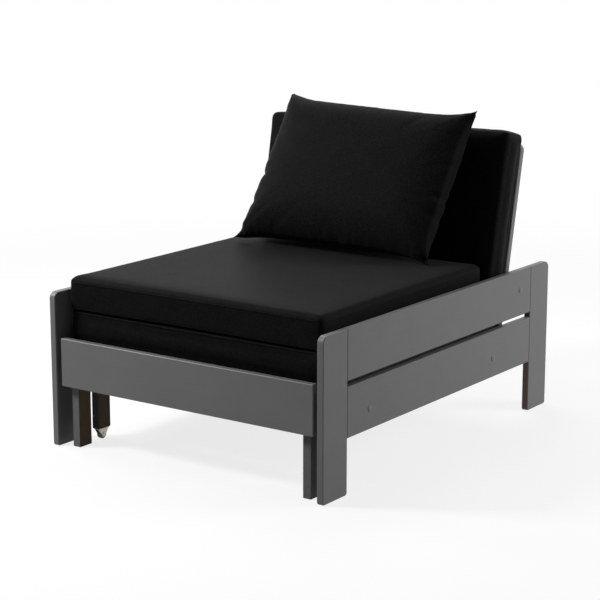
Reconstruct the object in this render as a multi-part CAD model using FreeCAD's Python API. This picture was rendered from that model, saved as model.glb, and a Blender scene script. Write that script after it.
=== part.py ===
import FreeCAD
import Part

import math
import os

# A chair bed in its chair position: a fixed frame of eased softwood boards, a leaning back panel, and a
# slatted base in three interleaved combs. The middle and front combs pull out towards the sitter's feet,
# one after the other, each on its own pair of legs, and the mattress sections are laid out along them.
# Lengths are in millimetres and angles in degrees. X runs to the right as seen from the front, Y to the
# back and Z up. The origin is on the floor under the middle of the frame.

# Mattress sections: the back and lower sections are each half of what the seat section leaves
mattress_width = 900.0
mattress_length = 2000.0
seat_section_depth = 850.0
foam_thickness = 100.0
cover_thickness = 1.0
cushion_corner_radius = 24.0
cushion_edge_radius = 12.0
cushion_draw_in = 5.0
cushion_crown = 6.0
crown_steps = (0.12, 0.5)

# How the mattress sits in the frame, and how far the frame runs on behind the back panel
mattress_side_gap = 14.0
seat_setback = 18.0
back_section_gap = 14.72
rear_reach = 238.0

# Frame boards
board_thickness = 21.0
board_height = 144.0
board_gap = 16.0
side_clearance = 160.0
post_width = 115.0
post_top_radius = 20.0
foot_radius = 8.0
edge_ease = 1.8
edge_break = 1.0

# Front rail and the two pairs of pull-out legs
rail_end_gap = 15.0
rail_setback = 4.0
rail_clearance = 185.0
leg_width = 28.0
leg_depth = 52.0
leg_inset = 20.0
caster_leg_gap = 33.0

# Slatted base: each comb has every third slat, and the front comb one more than the others
slats_per_comb = 5
slat_width = 46.0
slat_thickness = 20.0
slat_edge_ease = 2.5
slat_margin = 6.0
slat_top = 303.0
slat_rear_gap = 5.0

# Cross members
beam_thickness = 28.0
beam_height = 130.0
front_beam_gap = 49.0
rear_beam_lead = 119.0
slat_overhang = 10.0
middle_beam_height = 100.0
cleat_height = 45.0

# Back panel, measured up its own slope from the level of the slats
back_lean_angle = 12.0
panel_side_gap = 19.0
back_panel_drop = 70.0
back_board_count = 4
stile_width = 70.0
back_rail_rise = 108.0
back_rail_height = 58.0
foot_batten_height = 45.0
foot_batten_depth = 30.0

# Pillow, slumped a little to one side
pillow_bottom_width = 720.0
pillow_top_width = 675.0
pillow_height = 510.0
pillow_thickness = 205.0
pillow_draw_in = 22.0
pillow_edge_power = 1.12
pillow_edge_angle = 80.0
pillow_turns = 6
pillow_skew = 44.0
pillow_slump = 9.0
pillow_lean_angle = 26.5
pillow_shift_left = 12.0

# Caps over the bolts that hold the cross members
cap_radius = 10.0
cap_height = 2.6
cap_rim_height = 0.9
cap_plug_radius = 8.0
cap_plug_length = 5.0

# Casters
wheel_radius = 15.0
wheel_width = 13.0
wheel_round = 1.6
wheel_top_gap = 2.0
wheel_side_gap = 0.5
axle_radius = 2.5
axle_head_radius = 4.2
axle_head_thickness = 1.4
bracket_sheet = 2.0
bracket_length = 44.0
bracket_width = 24.0
bracket_nose_radius = 9.0

# Clearances
running_gap = 0.3
soft_gap = 0.3
hole_clearance = 0.05

# Sizes that follow from the ones above
back_lean = math.radians(back_lean_angle)
section_thickness = foam_thickness + 2 * cover_thickness
section_reach = section_thickness / math.cos(back_lean)
panel_setback = (rail_setback + board_thickness + seat_setback + seat_section_depth
                 + back_section_gap + section_reach)
frame_depth = panel_setback + rear_reach
front = -frame_depth / 2
panel_front = front + panel_setback
inner_x = mattress_width / 2 + mattress_side_gap
outer_x = inner_x + board_thickness
panel_half = inner_x - panel_side_gap
stile_inner = panel_half - stile_width
side_height = side_clearance + 2 * board_height + board_gap
post_joint = front + post_width
board_levels = [side_clearance, side_clearance + board_height + board_gap]
rail_half = inner_x - rail_end_gap
rail_front = front + rail_setback
rail_back = rail_front + board_thickness
leg_outer = rail_half - leg_inset
leg_inner = leg_outer - leg_width
leg_middle = leg_outer - leg_width / 2
caster_leg_front = rail_back + leg_depth + caster_leg_gap
caster_leg_middle = caster_leg_front + leg_depth / 2
front_beam_front = caster_leg_front + leg_depth + front_beam_gap
rear_beam_front = panel_front - rear_beam_lead
comb_order = ("front", "fixed", "middle")
slat_count = len(comb_order) * slats_per_comb + 1
slat_pitch = 2 * (rail_half - slat_margin) / slat_count
slat_bottom = slat_top - slat_thickness
fold_depth = (mattress_length - seat_section_depth) / 2
stage_level = {"fixed": 0.0, "middle": running_gap, "front": 2 * running_gap}
mattress_floor = slat_top + stage_level["front"] + soft_gap
board_pitch = board_height + board_gap
panel_length = back_board_count * board_pitch - board_gap
stage_travel = (mattress_length - (panel_front - rail_back)) / 2 + cover_thickness

up = FreeCAD.Vector(0, 0, 1)
down = FreeCAD.Vector(0, 0, -1)
rightward = FreeCAD.Vector(1, 0, 0)
leftward = FreeCAD.Vector(-1, 0, 0)
backward = FreeCAD.Vector(0, 1, 0)
forward = FreeCAD.Vector(0, -1, 0)
origin = FreeCAD.Vector(0, 0, 0)


def point(x, y, z):
    """A place in the object's own axes."""
    return FreeCAD.Vector(x, y, z)


def block(x_range, y_range, z_range):
    """A plain box between two limits on each axis."""
    size = [high - low for low, high in (x_range, y_range, z_range)]
    return Part.makeBox(*size, point(x_range[0], y_range[0], z_range[0]))


def board(x_range, y_range, z_range, ease):
    """A sawn board with every edge taken off by the same small chamfer."""
    blank = block(x_range, y_range, z_range)
    return blank.makeChamfer(ease, blank.Edges)


def mirrored(shape):
    """The same piece on the left side of the frame."""
    return shape.mirror(origin, rightward)


def leaned(shape, angle, place):
    """Tips a piece built upright at the origin back by an angle, then moves its foot to a place."""
    piece = shape.copy()
    piece.rotate(origin, rightward, -angle)
    piece.translate(place)
    return piece


def on_back(shape):
    """Moves a piece from the back panel's own axes, Y through the panel and Z up it, to its real place."""
    return leaned(shape, back_lean_angle, point(0, panel_front, slat_top))


def panel_front_at(z):
    """The back panel's front face at a height."""
    return panel_front + (z - slat_top) * math.tan(back_lean)


def revolved(profile, place, direction):
    """Turns a closed (radius, height) outline about its axis and stands it at a place."""
    corners = [point(radius, 0, height) for radius, height in profile]
    face = Part.Face(Part.makePolygon(corners + corners[:1]))
    solid = face.revolve(origin, up, 360)
    solid.Placement = FreeCAD.Placement(place, FreeCAD.Rotation(up, direction))
    return solid


def rod(radius, length, place, direction):
    """A plain cylinder that starts at a place."""
    return Part.makeCylinder(radius, length, place, direction)


def save(name, solids):
    """Writes one sub-part, a single solid or a group of separate ones."""
    shape = solids if isinstance(solids, Part.Shape) else Part.makeCompound(solids)
    shape.exportStep("parts/" + name + ".step")


def outline(corners, draw_in=0.0):
    """A closed flat outline: each corner is a place and a rounding radius, and the sides may bow inwards."""
    centre = origin
    for place, radius in corners:
        centre = centre + place * (1 / len(corners))
    arcs = []
    arrivals = []
    departures = []
    for index, (place, radius) in enumerate(corners):
        back = corners[index - 1][0] - place
        ahead = corners[(index + 1) % len(corners)][0] - place
        back.normalize()
        ahead.normalize()
        arrivals.append(place + back * radius)
        departures.append(place + ahead * radius)
        if radius:
            middle = place + (back + ahead) * (radius * (1 - math.sqrt(0.5)))
            arcs.append(Part.Arc(arrivals[-1], middle, departures[-1]).toShape())
    sides = []
    for start, end in zip(departures, arrivals[1:] + arrivals[:1]):
        if draw_in:
            sides.append(side_arc(start, end, draw_in, centre))
        else:
            sides.append(Part.LineSegment(start, end).toShape())
    return Part.Wire(Part.__sortEdges__(arcs + sides))


def side_arc(start, end, draw_in, centre):
    """An arc between two corners of an outline that bows inwards at its middle."""
    middle = (start + end) * 0.5
    inward = centre - middle
    inward.normalize()
    return Part.Arc(start, middle + inward * draw_in, end).toShape()


def upright(corners, thickness):
    """A board cut to an outline, with the rims of both its faces eased."""
    blank = Part.Face(outline(corners)).extrude(thickness)
    rims = [edge for edge in blank.Edges
            if abs((edge.Vertexes[-1].Point - edge.Vertexes[0].Point).dot(thickness)) < edge_ease]
    return blank.makeChamfer(edge_ease, rims)


def post_blank():
    """The right front post: square at the joint side, with a large round at its top front corner."""
    return upright([
        (point(inner_x, front, 0), foot_radius),
        (point(inner_x, front, side_height), post_top_radius),
        (point(inner_x, post_joint, side_height), 0),
        (point(inner_x, post_joint, 0), foot_radius),
    ], rightward * board_thickness)


def bolt_places():
    """Where each bolt's cap sits on the right side: over the two cross beams and over the back rail."""
    beam_z = slat_bottom - beam_height / 2
    rail_middle = on_back(Part.Vertex(0, board_thickness + beam_thickness / 2, back_rail_rise)).Point
    return [
        point(outer_x, front_beam_front + beam_thickness / 2, beam_z),
        point(outer_x, rear_beam_front + beam_thickness / 2, beam_z),
        point(outer_x, rail_middle.y, rail_middle.z),
    ]


def bolt_cap(place):
    """A domed press-in cap: its plug stands in the side board and its dome lies on the board's face."""
    dome_height = cap_height - cap_rim_height
    dome_radius = (cap_radius ** 2 + dome_height ** 2) / (2 * dome_height)
    ball = Part.makeSphere(dome_radius, place + rightward * (cap_height - dome_radius))
    dome = rod(cap_radius, cap_height, place, rightward).common(ball)
    return dome.fuse(rod(cap_plug_radius - hole_clearance, cap_plug_length, place, leftward))


def build_sides():
    """Both side frames: two posts, two boards between them, and the caps pressed into the boards."""
    places = bolt_places()
    holes = [rod(cap_plug_radius, cap_plug_length + hole_clearance, place, leftward) for place in places]
    front_post = post_blank()
    pieces = {
        "front_post": front_post,
        "rear_post": front_post.mirror(origin, backward),
        "bolt_caps": Part.makeCompound([bolt_cap(place) for place in places]),
    }
    for name, level in zip(("lower_side_board", "upper_side_board"), board_levels):
        z_range = (level, level + board_height)
        pieces[name] = board((inner_x, outer_x), (post_joint, -post_joint), z_range, edge_ease).cut(holes)
    for name, shape in pieces.items():
        save(name + "_right", shape)
        save(name + "_left", mirrored(shape))


def slat_places(comb):
    """Middle X of each slat of a comb, counted across the bed: front, fixed, middle, and again."""
    offset = comb_order.index(comb)
    first = (slat_pitch - slat_count * slat_pitch) / 2
    return [first + index * slat_pitch for index in range(offset, slat_count, len(comb_order))]


def slat(x, y_range, comb):
    """One lengthwise slat with eased edges, at its comb's own level."""
    low = slat_bottom + stage_level[comb]
    x_range = (x - slat_width / 2, x + slat_width / 2)
    return board(x_range, y_range, (low, low + slat_thickness), slat_edge_ease)


def slats(comb, start):
    """A comb of slats from a start to just in front of the back panel."""
    end = panel_front_at(slat_bottom) - slat_rear_gap
    return [slat(x, (start, end), comb) for x in slat_places(comb)]


def cross_beam(beam_front):
    """A beam on edge between the side frames, with its top under the fixed slats."""
    return board((-inner_x, inner_x), (beam_front, beam_front + beam_thickness),
                 (slat_bottom - beam_height, slat_bottom), edge_break)


def foot_batten():
    """The batten under the slats' rear ends, its back bevelled to lie on the leaning panel."""
    low = slat_bottom - foot_batten_height
    lead = panel_front_at(low) - foot_batten_depth
    corners = [(lead, low), (panel_front_at(low), low), (panel_front_at(slat_bottom), slat_bottom),
               (lead, slat_bottom)]
    ring = [point(-panel_half, y, z) for y, z in corners]
    return Part.Face(Part.makePolygon(ring + ring[:1])).extrude(rightward * 2 * panel_half)


def back_stile():
    """The panel's right upright, in the panel's own axes, with its outer corners rounded."""
    low = -back_panel_drop
    high = low + panel_length
    return upright([
        (point(panel_half, 0, low), foot_radius),
        (point(panel_half, 0, high), post_top_radius),
        (point(stile_inner, 0, high), 0),
        (point(stile_inner, 0, low), 0),
    ], backward * board_thickness)


def back_board_levels():
    """The lower edge of each board of the panel, up the panel's own slope."""
    return [index * board_pitch - back_panel_drop for index in range(back_board_count)]


def build_back():
    """The leaning panel and the rail behind it, which the upper caps' bolts hold between the sides."""
    rail_low = back_rail_rise - back_rail_height / 2
    rail = board((-inner_x, inner_x), (board_thickness, board_thickness + beam_thickness),
                 (rail_low, rail_low + back_rail_height), edge_break)
    stile = on_back(back_stile())
    save("back_rail", on_back(rail))
    save("back_stile_right", stile)
    save("back_stile_left", mirrored(stile))
    for number, low in enumerate(back_board_levels(), start=1):
        crossboard = board((-stile_inner, stile_inner), (0, board_thickness), (low, low + board_height),
                           edge_ease)
        save("back_board_%d" % number, on_back(crossboard))


def build_fixed_base():
    """The two cross beams, the fixed comb on them and the batten at the comb's rear end."""
    save("front_cross_beam", cross_beam(front_beam_front))
    save("rear_cross_beam", cross_beam(rear_beam_front))
    save("back_foot_batten", foot_batten())
    save("fixed_slats", slats("fixed", front_beam_front - slat_overhang))


def build_middle_stage():
    """The middle comb on its beam, and the two caster legs that carry the beam."""
    top = slat_bottom + stage_level["middle"]
    foot = 2 * wheel_radius + wheel_top_gap + bracket_sheet
    beam_range = (caster_leg_middle - beam_thickness / 2, caster_leg_middle + beam_thickness / 2)
    axle_place = point(leg_middle, caster_leg_middle, wheel_radius)
    save("middle_beam", board((-leg_inner, leg_inner), beam_range, (top - middle_beam_height, top),
                              edge_break))
    save("middle_slats", slats("middle", caster_leg_front))
    pieces = {
        "caster_leg": board((leg_inner, leg_outer), (caster_leg_front, caster_leg_front + leg_depth),
                            (foot, top), edge_ease),
        "caster_bracket": caster_bracket(foot),
        "caster_wheel": caster_wheel(axle_place),
        "caster_axle": caster_axle(axle_place),
    }
    for name, shape in pieces.items():
        save(name + "_right", shape)
        save(name + "_left", mirrored(shape))


def cheek_outline(x, top):
    """A caster cheek in its plane: wide at the leg, with straight sides down to a round nose."""
    middle = caster_leg_middle
    half = bracket_length / 2
    rise = top - wheel_radius
    reach = math.hypot(half, rise)
    tangent = math.atan2(rise, half) - math.acos(bracket_nose_radius / reach)
    side_y = bracket_nose_radius * math.cos(tangent)
    side_z = wheel_radius + bracket_nose_radius * math.sin(tangent)
    top_front, top_rear = point(x, middle - half, top), point(x, middle + half, top)
    side_front, side_rear = point(x, middle - side_y, side_z), point(x, middle + side_y, side_z)
    bottom = point(x, middle, wheel_radius - bracket_nose_radius)
    return Part.Wire([
        Part.LineSegment(top_front, top_rear).toShape(),
        Part.LineSegment(top_rear, side_rear).toShape(),
        Part.Arc(side_rear, bottom, side_front).toShape(),
        Part.LineSegment(side_front, top_front).toShape(),
    ])


def caster_bracket(foot):
    """Pressed steel bracket: a plate under the leg and two cheeks that hold the axle."""
    gap = wheel_width / 2 + wheel_side_gap
    half = bracket_length / 2
    plate = block((leg_middle - bracket_width / 2, leg_middle + bracket_width / 2),
                  (caster_leg_middle - half, caster_leg_middle + half), (foot - bracket_sheet, foot))
    corners = [edge for edge in plate.Edges if edge.BoundBox.ZLength > bracket_sheet / 2]
    shape = plate.makeFillet(bracket_sheet, corners)
    for x in (leg_middle - gap - bracket_sheet, leg_middle + gap):
        cheek = Part.Face(cheek_outline(x, foot - bracket_sheet)).extrude(rightward * bracket_sheet)
        shape = shape.fuse(cheek)
    bore = rod(axle_radius + hole_clearance, bracket_width,
               point(leg_middle - bracket_width / 2, caster_leg_middle, wheel_radius), rightward)
    return shape.removeSplitter().cut(bore)


def caster_wheel(place):
    """A small solid wheel with a bevelled tread."""
    half = wheel_width / 2
    bore = axle_radius + hole_clearance
    profile = [(bore, -half), (wheel_radius - wheel_round, -half), (wheel_radius, -half + wheel_round)]
    profile += [(radius, -height) for radius, height in reversed(profile)]
    return revolved(profile, place, rightward)


def caster_axle(place):
    """The riveted pin through both cheeks, with a head at each end."""
    half = wheel_width / 2 + wheel_side_gap + bracket_sheet
    profile = [(0, -half - axle_head_thickness), (axle_head_radius, -half - axle_head_thickness),
               (axle_head_radius, -half), (axle_radius, -half)]
    profile += [(radius, -height) for radius, height in reversed(profile)]
    return revolved(profile, place, rightward)


def build_front_stage():
    """The front rail, the legs and cleat on its back, and the front comb."""
    top = slat_bottom + stage_level["front"]
    leg = board((leg_inner, leg_outer), (rail_back, rail_back + leg_depth), (0, top), edge_ease)
    save("front_rail", board((-rail_half, rail_half), (rail_front, rail_back),
                             (rail_clearance, rail_clearance + board_height), edge_ease))
    save("front_leg_right", leg)
    save("front_leg_left", mirrored(leg))
    save("front_cleat", board((-leg_inner, leg_inner), (rail_back, rail_back + beam_thickness),
                              (top - cleat_height, top), edge_break))
    save("front_slats", slats("front", rail_back))


def cushion_outline(half_x, half_y, radius, z, draw_in):
    """A rectangle in plan with round corners and sides that may draw in a little between them."""
    corners = [(point(side_x * half_x, side_y * half_y, z), radius)
               for side_x, side_y in ((1, -1), (1, 1), (-1, 1), (-1, -1))]
    return outline(corners, draw_in)


def crown_rise(inset, reach):
    """How far a quarter-ellipse crown has risen at a distance in from the section's edge."""
    share = 1 - (inset - cushion_edge_radius) / (reach - cushion_edge_radius)
    return cushion_crown * math.sqrt(1 - share * share)


def cushion(width, depth, crowned):
    """A foam section in its cover: rounded edges all round and, where asked, a crown on its top face."""
    radius = cushion_edge_radius
    high = section_thickness
    reach = min(width, depth) / 2
    bevel = radius * (1 - math.sqrt(0.5))
    sections = [(radius, 0), (bevel, bevel), (0, radius), (0, high - radius), (bevel, high - bevel),
                (radius, high)]
    wires = [
        cushion_outline(width / 2 - inset, depth / 2 - inset, cushion_corner_radius - inset, z,
                        cushion_draw_in)
        for inset, z in sections
    ]
    if crowned:
        corner = cushion_corner_radius - radius
        for share in crown_steps:
            inset = radius + (reach - radius) * share
            rise = crown_rise(inset, reach)
            wires.append(cushion_outline(width / 2 - inset, depth / 2 - inset, corner, high + rise, 0.0))
    return Part.makeLoft(wires, True, True)


def pillow():
    """A knife-edged pillow with drawn-in sides and pointed corners, upright, its foot at the origin."""
    half_foot = pillow_bottom_width / 2
    half_head = pillow_top_width / 2
    corners = [
        point(-half_foot, 0, 0),
        point(half_foot, 0, 0),
        point(pillow_skew + half_head, 0, pillow_height - pillow_slump),
        point(pillow_skew - half_head, 0, pillow_height),
    ]
    middle = point(pillow_skew / 2, 0, pillow_height / 2)
    wires = []
    for step in range(pillow_turns + 1):
        turn = math.radians(pillow_edge_angle) * (2 * step / pillow_turns - 1)
        share = math.cos(turn) ** pillow_edge_power
        depth = pillow_thickness / 2 * math.sin(turn) / math.sin(math.radians(pillow_edge_angle))
        ring = [(middle + (corner - middle) * share + backward * depth, 0) for corner in corners]
        wires.append(outline(ring, share * pillow_draw_in))
    return Part.makeLoft(wires, True, True)


def leaned_section():
    """The back section, standing on the slats' level and lying against the back panel."""
    section = cushion(mattress_width, fold_depth, True)
    section.translate(backward * (fold_depth / 2))
    section.rotate(origin, rightward, 90)
    section.translate(forward * soft_gap)
    lowest = (cushion_edge_radius + soft_gap) * math.sin(back_lean)
    section.translate(up * ((mattress_floor - slat_top - lowest) / math.cos(back_lean)))
    return on_back(section)


def leaned_pillow(seat):
    """The pillow, standing just clear of the seat with its back against the crown of the back section."""
    loose = leaned(pillow(), pillow_lean_angle, origin)
    floor = seat.BoundBox.ZMax + soft_gap - loose.BoundBox.ZMin
    behind = leaned(loose, -back_lean_angle, origin).BoundBox.YMax
    off_panel = section_thickness + cushion_crown + 2 * soft_gap + behind
    setback = (off_panel - (floor - slat_top) * math.sin(back_lean)) / math.cos(back_lean)
    loose.translate(point(-pillow_shift_left, panel_front - setback, floor))
    loose.translate(down * (loose.distToShape(seat)[0] - soft_gap))
    return loose


def build_cushions():
    """The three mattress sections and the pillow, each just clear of what it rests on."""
    seat_front = rail_back + seat_setback
    lower = cushion(mattress_width, fold_depth, False)
    lower.translate(point(0, seat_front + fold_depth / 2, mattress_floor))
    upper_floor = mattress_floor + section_thickness + soft_gap
    upper = cushion(mattress_width, seat_section_depth, True)
    upper.translate(point(0, seat_front + seat_section_depth / 2, upper_floor))
    save("seat_section_lower", lower)
    save("seat_section_upper", upper)
    save("back_section", leaned_section())
    save("pillow", leaned_pillow(upper))


os.makedirs("parts", exist_ok=True)
build_sides()
build_back()
build_fixed_base()
build_middle_stage()
build_front_stage()
build_cushions()
print("side height %.1f, stage travel %.1f" % (side_height, stage_travel))
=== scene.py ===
"""Chair bed in its chair position, dressed for the render.

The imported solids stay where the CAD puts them. This script gives every board, slat and fitting its
finish, replaces the foam sections, the pillow and the caster wheels with finished pieces, and sets
up the stage, the lamps and the camera. Lengths are in metres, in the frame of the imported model.
"""

from __future__ import annotations

import logging
import math
from dataclasses import dataclass, replace
from enum import Enum
from typing import Any, Iterable, Mapping, Sequence, Union

import bmesh
import bpy
import numpy as np
from mathutils import Euler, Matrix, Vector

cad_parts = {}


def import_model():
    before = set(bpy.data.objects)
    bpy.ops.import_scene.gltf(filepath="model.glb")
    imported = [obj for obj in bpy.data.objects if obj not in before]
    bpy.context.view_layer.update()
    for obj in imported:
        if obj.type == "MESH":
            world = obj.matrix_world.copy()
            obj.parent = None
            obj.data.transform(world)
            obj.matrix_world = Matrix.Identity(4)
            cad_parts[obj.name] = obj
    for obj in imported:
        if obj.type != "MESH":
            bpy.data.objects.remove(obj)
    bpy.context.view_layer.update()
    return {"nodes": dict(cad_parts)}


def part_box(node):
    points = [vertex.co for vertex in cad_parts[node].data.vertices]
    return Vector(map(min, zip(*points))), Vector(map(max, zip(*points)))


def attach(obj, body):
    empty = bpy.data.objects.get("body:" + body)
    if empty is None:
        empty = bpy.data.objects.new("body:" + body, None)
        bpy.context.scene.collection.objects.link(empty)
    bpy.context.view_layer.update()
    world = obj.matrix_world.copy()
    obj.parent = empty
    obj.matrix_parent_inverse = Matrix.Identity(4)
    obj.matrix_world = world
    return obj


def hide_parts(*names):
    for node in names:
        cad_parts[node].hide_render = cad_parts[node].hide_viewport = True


LOG = logging.getLogger("chair_bed")
Colour = tuple[float, float, float]
Point = tuple[float, float, float]
Surface = tuple[np.ndarray, np.ndarray]
Piece = bpy.types.Object
Mesh = bpy.types.Mesh
Material = bpy.types.Material
Feed = Union["Shade", float, int, Sequence[float]]

SIDES = ("left", "right")
PANEL_LEAN = math.radians(12.0)
CLOTH_MAP = "cloth"
WHITE = (1.0, 1.0, 1.0)
MERGE_DISTANCE = 1e-6
DEGENERATE_LENGTH = 1e-7
TINY = 1e-9


class Shade:
    """A socket of a node tree, with arithmetic that adds Math nodes to that tree."""

    def __init__(self, recipe: "Recipe", socket: bpy.types.NodeSocket) -> None:
        """Wraps a socket.

        Args:
            recipe: the node tree being made.
            socket: an output socket of one of its nodes.
        """
        self.recipe = recipe
        self.socket = socket

    def other(self, output: str) -> "Shade":
        """Another output of the same node, by name."""
        return Shade(self.recipe, self.socket.node.outputs[output])

    def _math(self, operation: str, *operands: Feed) -> "Shade":
        """Adds one Math node on the operands and returns its result."""
        inputs = dict(enumerate(operands))
        return self.recipe.add("ShaderNodeMath", {"operation": operation}, inputs)

    def __add__(self, other: Feed) -> "Shade":
        """Sum."""
        return self._math("ADD", self, other)

    def __radd__(self, other: Feed) -> "Shade":
        """Sum, with the number on the left."""
        return self._math("ADD", other, self)

    def __sub__(self, other: Feed) -> "Shade":
        """Difference."""
        return self._math("SUBTRACT", self, other)

    def __rsub__(self, other: Feed) -> "Shade":
        """Difference, with the number on the left."""
        return self._math("SUBTRACT", other, self)

    def __mul__(self, other: Feed) -> "Shade":
        """Product."""
        return self._math("MULTIPLY", self, other)

    def __rmul__(self, other: Feed) -> "Shade":
        """Product, with the number on the left."""
        return self._math("MULTIPLY", other, self)

    def __gt__(self, other: Feed) -> "Shade":
        """One where this is the greater, otherwise zero."""
        return self._math("GREATER_THAN", self, other)

    def __lt__(self, other: Feed) -> "Shade":
        """One where this is the smaller, otherwise zero."""
        return self._math("LESS_THAN", self, other)

    def __abs__(self) -> "Shade":
        """Size without sign."""
        return self._math("ABSOLUTE", self)

    def sine(self) -> "Shade":
        """Sine of an angle in radians."""
        return self._math("SINE", self)

    def rise(self, low: float, high: float) -> "Shade":
        """A smooth step from zero at low to one at high.

        Args:
            low: the value where the step starts.
            high: the value where it ends.

        Returns:
            The step's result.
        """
        settings = {"interpolation_type": "SMOOTHSTEP"}
        return self.recipe.add("ShaderNodeMapRange", settings, {0: self, 1: low, 2: high})


class Recipe:
    """The node tree of one material or of the world, and the ways to add nodes to it."""

    def __init__(self, name: str, world: bool = False) -> None:
        """Starts an empty tree.

        Args:
            name: the name of the material or the world.
            world: whether it is a world.
        """
        self.owner = (bpy.data.worlds if world else bpy.data.materials).new(name)
        self.owner.use_nodes = True
        self.tree = self.owner.node_tree
        self.tree.nodes.clear()
        self.output_kind = "ShaderNodeOutputWorld" if world else "ShaderNodeOutputMaterial"

    def node(self, kind: str, settings: Mapping[str, Any] | None = None,
             inputs: Mapping[Any, Feed] | None = None) -> bpy.types.Node:
        """Makes any node.

        Args:
            kind: the node's type name.
            settings: its properties, which are set first.
            inputs: a value or a shade for each socket, by name or number.

        Returns:
            The node.
        """
        node = self.tree.nodes.new(kind)
        for key, value in (settings or {}).items():
            setattr(node, key, value)
        for key, value in (inputs or {}).items():
            socket = node.inputs[key]
            if isinstance(value, Shade):
                self.tree.links.new(value.socket, socket)
            elif isinstance(value, (int, float)):
                socket.default_value = value
            else:
                wide = len(socket.default_value) == 4 and len(value) == 3
                socket.default_value = (*value, 1.0) if wide else value
        return node

    def add(self, kind: str, settings: Mapping[str, Any] | None = None,
            inputs: Mapping[Any, Feed] | None = None, output: int | str = 0) -> Shade:
        """Makes a node as above and returns one of its outputs, by name or number."""
        return Shade(self, self.node(kind, settings, inputs).outputs[output])

    def spot(self) -> Shade:
        """Object coordinates."""
        return self.add("ShaderNodeTexCoord", output="Object")

    def place(self, stretch: Point = (1.0, 1.0, 1.0), shift: float = 0.0) -> Shade:
        """Object coordinates, scaled along each axis and shifted.

        Args:
            stretch: the factor on each axis.
            shift: how far the pattern is slid, so that like boards differ.

        Returns:
            A vector.
        """
        inputs = {0: self.spot(), 1: stretch, 2: (shift, shift, shift)}
        return self.add("ShaderNodeVectorMath", {"operation": "MULTIPLY_ADD"}, inputs)

    def scaled(self, vector: Shade, factors: Sequence[float]) -> Shade:
        """A vector times a factor on each axis."""
        return self.add("ShaderNodeVectorMath", {"operation": "MULTIPLY"}, {0: vector, 1: factors})

    def noise(self, vector: Shade, scale: float, detail: float = 3.0, rough: float = 0.55,
              twist: float = 0.0) -> Shade:
        """Fractal noise between zero and one.

        Args:
            vector: where to read it.
            scale: waves per unit.
            detail: octaves.
            rough: how strong the fine octaves are.
            twist: how far it folds on itself.

        Returns:
            The noise.
        """
        inputs = {"Vector": vector, "Scale": scale, "Detail": detail, "Roughness": rough,
                  "Distortion": twist}
        return self.add("ShaderNodeTexNoise", None, inputs)

    def mix(self, share: Feed, first: Feed, second: Feed) -> Shade:
        """A colour between two others: sockets 6 and 7 take colours, and output 2 gives one.

        Args:
            share: zero for the first and one for the second.
            first: a colour.
            second: a colour.

        Returns:
            The mixed colour.
        """
        inputs = {0: share, 6: first, 7: second}
        return self.add("ShaderNodeMix", {"data_type": "RGBA"}, inputs, 2)

    def bump(self, height: Shade, strength: float, distance: float,
             under: Shade | None = None) -> Shade:
        """A normal tilted by a height.

        Args:
            height: from zero to one.
            strength: how much of the tilt is used.
            distance: the height of one, in metres.
            under: an earlier normal to build on.

        Returns:
            The normal.
        """
        inputs: dict[str, Feed] = {"Strength": strength, "Distance": distance, "Height": height}
        if under is not None:
            inputs["Normal"] = under
        return self.add("ShaderNodeBump", None, inputs)

    def seen(self) -> Shade:
        """One for a ray from the camera, off gloss or through glass, otherwise zero."""
        path = self.add("ShaderNodeLightPath", output="Is Camera Ray")
        return path + path.other("Is Glossy Ray") + path.other("Is Transmission Ray")

    def finish(self, **sockets: Feed) -> Material:
        """Adds the Principled shader and closes the tree.

        Args:
            **sockets: Principled sockets, with underscores for the spaces in their names.

        Returns:
            The finished material.
        """
        inputs = {key.replace("_", " "): value for key, value in sockets.items()}
        return self.close(self.add("ShaderNodeBsdfPrincipled", None, inputs))

    def close(self, shader: Shade) -> Any:
        """Links a shader to the tree's own output and returns the material or the world."""
        self.node(self.output_kind, None, {0: shader})
        return self.owner


class Grain(Enum):
    """Which way a board's grain runs, as the factors that stretch a pattern along it."""

    ACROSS = (0.06, 1.0, 1.0)
    ALONG = (1.0, 0.06, 1.0)
    UPRIGHT = (1.0, 1.0, 0.06)


class Axis(Enum):
    """A level axis of the model, by the name that a split vector's output has."""

    ACROSS = "X"
    ALONG = "Y"


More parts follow.
